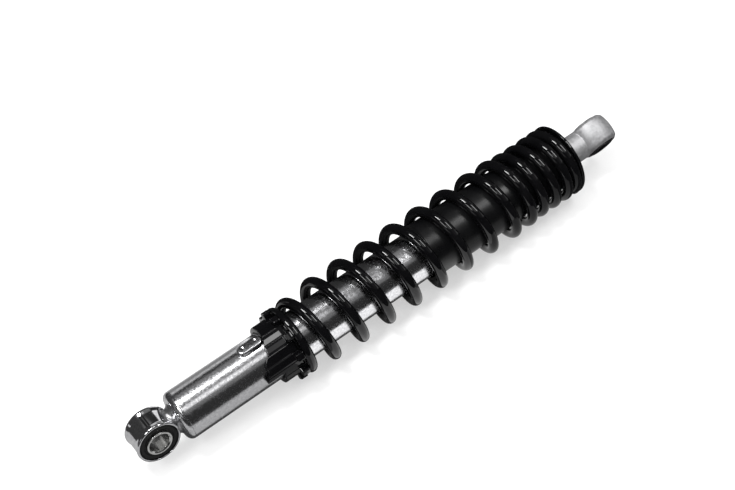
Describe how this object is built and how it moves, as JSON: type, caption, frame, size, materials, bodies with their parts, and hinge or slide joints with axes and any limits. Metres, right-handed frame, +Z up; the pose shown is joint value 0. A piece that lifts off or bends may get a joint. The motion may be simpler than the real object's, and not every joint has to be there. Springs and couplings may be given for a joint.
{
  "type": "motorcycle rear shock absorber",
  "caption": "Telescopic oil-damped rear shock absorber with an outer coil spring, stepped preload collar, dust cover and a rubber-bushed bolt eye at each end.",
  "frame": {"origin": "centre of the lower eye's bolt hole", "axes": "+X along the shock towards the upper eye, Y along the lower eye's bolt, +Z up when that bolt is level; the shock lies on its side as pictured"},
  "size_m": [0.3673, 0.0514, 0.0512],
  "materials": {
    "chrome": "polished chrome plate on steel",
    "gloss_black": "gloss black powder paint on steel",
    "black_plastic": "satin black moulded plastic",
    "cast_aluminium": "satin die-cast aluminium",
    "bush_rubber": "black moulded rubber",
    "zinc_steel": "bright zinc-plated steel",
    "dark_steel": "dark oxide steel",
    "bearing_bronze": "plain sintered bronze"
  },
  "bodies": {
    "damper": {"lower_eye": "chrome", "lower_bush": "bush_rubber", "bottom_cap": "chrome", "outer_tube": "chrome", "cam_stops": "chrome", "coil_spring": "gloss_black", "rod_guide": "cast_aluminium", "guide_bush": "bearing_bronze", "oil_seal": "bush_rubber", "seal_washer": "zinc_steel", "inner_cylinder": "zinc_steel", "base_valve_body": "cast_aluminium", "base_valve_shims": "zinc_steel", "base_valve_rivet": "zinc_steel"},
    "lower_bolt_sleeve": {"lower_sleeve": "zinc_steel"},
    "spring_seat": {"spring_seat_ring": "gloss_black"},
    "collar": {"preload_collar": "gloss_black"},
    "upper_seat": {"dust_cover": "black_plastic", "upper_spring_seat": "gloss_black"},
    "rod": {"upper_eye": "cast_aluminium", "upper_bush": "bush_rubber", "piston_rod": "chrome", "rod_lock_nut": "zinc_steel", "bump_stop": "bush_rubber", "piston": "cast_aluminium", "piston_ring": "black_plastic", "rebound_shims": "zinc_steel", "check_plate": "zinc_steel", "piston_nut": "zinc_steel", "rebound_stop": "black_plastic"},
    "upper_bolt_sleeve": {"upper_sleeve": "dark_steel"}
  },
  "joints": [
    {"name": "compression", "type": "slide", "parent": "damper", "child": "upper_seat", "axis": [-1, 0, 0], "range_m": [0, 0.065], "stiffness_N_per_m": 18000, "springref_m": -0.02, "deforming": ["coil_spring"]},
    {"name": "rod_swivel", "type": "hinge", "parent": "upper_seat", "child": "rod", "pos_m": [0.3, 0, 0], "axis": [1, 0, 0], "continuous": true},
    {"name": "upper_sleeve_twist", "type": "hinge", "parent": "rod", "child": "upper_bolt_sleeve", "pos_m": [0.34, 0, 0], "axis": [0, 0.848, 0.5299], "range_deg": [-12, 12], "stiffness_Nm_per_rad": 25},
    {"name": "lower_sleeve_twist", "type": "hinge", "parent": "damper", "child": "lower_bolt_sleeve", "pos_m": [0, 0, 0], "axis": [0, 1, 0], "range_deg": [-12, 12], "stiffness_Nm_per_rad": 25},
    {"name": "preload_lift", "type": "slide", "parent": "damper", "child": "spring_seat", "axis": [1, 0, 0], "range_m": [0, 0.01101], "deforming": ["coil_spring"]},
    {"name": "preload_turn", "type": "hinge", "parent": "spring_seat", "child": "collar", "pos_m": [0.08, 0, 0], "axis": [-1, 0, 0], "range_deg": [0, 72]}
  ],
  "couplings": [
    {"joint": "preload_lift", "follows": "preload_turn", "m_per_rad": 0.0087535}
  ]
}
